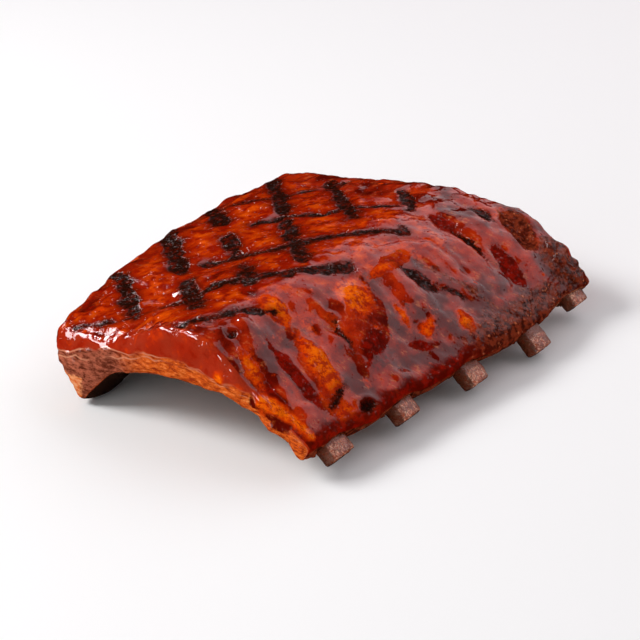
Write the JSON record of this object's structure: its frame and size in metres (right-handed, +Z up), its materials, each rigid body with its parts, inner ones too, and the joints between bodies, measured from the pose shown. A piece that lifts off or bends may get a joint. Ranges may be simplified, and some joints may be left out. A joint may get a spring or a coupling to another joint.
{
  "type": "rack of ribs",
  "caption": "Arched rack of grilled, glazed pork ribs, with rib bones that run through the meat and stand out at the tips.",
  "frame": {"origin": "middle of the rack's box, on the surface that the rack lies on", "axes": "+X along the rack from its near cut end, +Y from the bone tips to the loin side, +Z up"},
  "size_m": [0.1722, 0.148, 0.0436],
  "materials": {
    "glazed_meat": "grilled meat under a wet, glossy red-brown glaze",
    "roasted_bone": "roasted bone, pinkish tan with a damp sheen"
  },
  "bodies": {
    "root": {"meat": "glazed_meat", "bone_1": "roasted_bone", "bone_2": "roasted_bone", "bone_3": "roasted_bone", "bone_4": "roasted_bone", "bone_5": "roasted_bone"}
  },
  "joints": []
}
